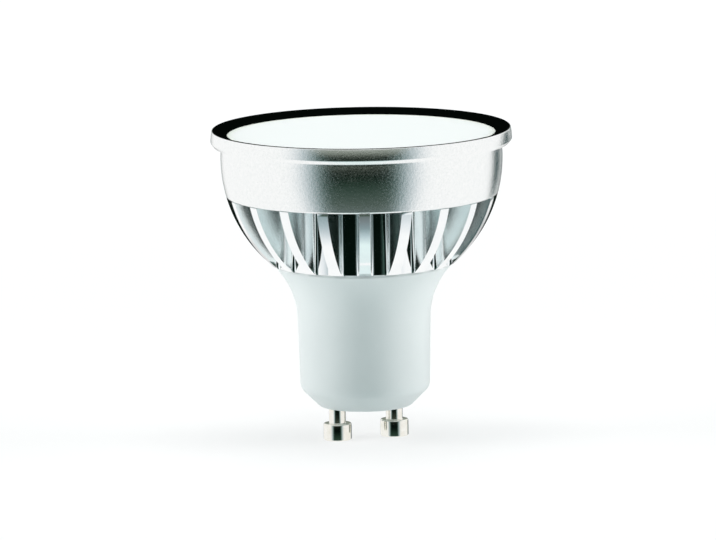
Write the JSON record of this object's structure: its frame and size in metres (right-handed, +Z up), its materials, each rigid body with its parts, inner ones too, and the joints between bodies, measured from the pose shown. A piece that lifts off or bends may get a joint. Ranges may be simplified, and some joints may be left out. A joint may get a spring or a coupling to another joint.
{
  "type": "gu10 spotlight bulb",
  "caption": "LED spotlight lamp with a two-pin twist-lock cap, white plastic neck, finned aluminium heat sink, satin front ring and flat milky cover.",
  "frame": {"origin": "on the lamp's axis, level with the ends of the two contact pins", "axes": "+Z up the lamp's axis to the front cover, X through both contact pins"},
  "size_m": [0.05, 0.05, 0.0521],
  "materials": {
    "nickel_plate": "bright nickel plate",
    "white_plastic": "fine matte moulding",
    "polished_aluminium": "polished",
    "satin_aluminium": "bead-blasted satin",
    "black_plastic": "satin black",
    "milky_cover": "milky",
    "thermal_pad": "soft",
    "white_board": "white solder mask on metal core",
    "phosphor": "phosphor",
    "steel": "zinc plated",
    "green_board": "solder mask",
    "ferrite": "ferrite",
    "copper_winding": "enamelled wire under tape",
    "can_sleeve": "shrink sleeve",
    "resistor_coat": "lacquer",
    "white_wire": "silicone",
    "red_wire": "silicone",
    "black_wire": "silicone"
  },
  "bodies": {
    "root": {"contact_pin_left": "nickel_plate", "contact_pin_right": "nickel_plate", "base_housing": "white_plastic", "heat_sink": "polished_aluminium", "front_ring": "satin_aluminium", "bezel_ring": "black_plastic", "diffuser": "milky_cover", "thermal_pad": "thermal_pad", "led_board": "white_board", "led_emitters": "phosphor", "board_screws": "steel", "base_screws": "steel", "driver_board": "green_board", "transformer_core": "ferrite", "transformer_winding": "copper_winding", "input_capacitor": "can_sleeve", "output_capacitor": "can_sleeve", "filter_choke": "ferrite", "bridge_rectifier": "black_plastic", "driver_chip": "black_plastic", "fuse_resistor": "resistor_coat", "pin_wire_left": "white_wire", "pin_wire_right": "white_wire", "led_wire_positive": "red_wire", "led_wire_negative": "black_wire"}
  },
  "joints": []
}
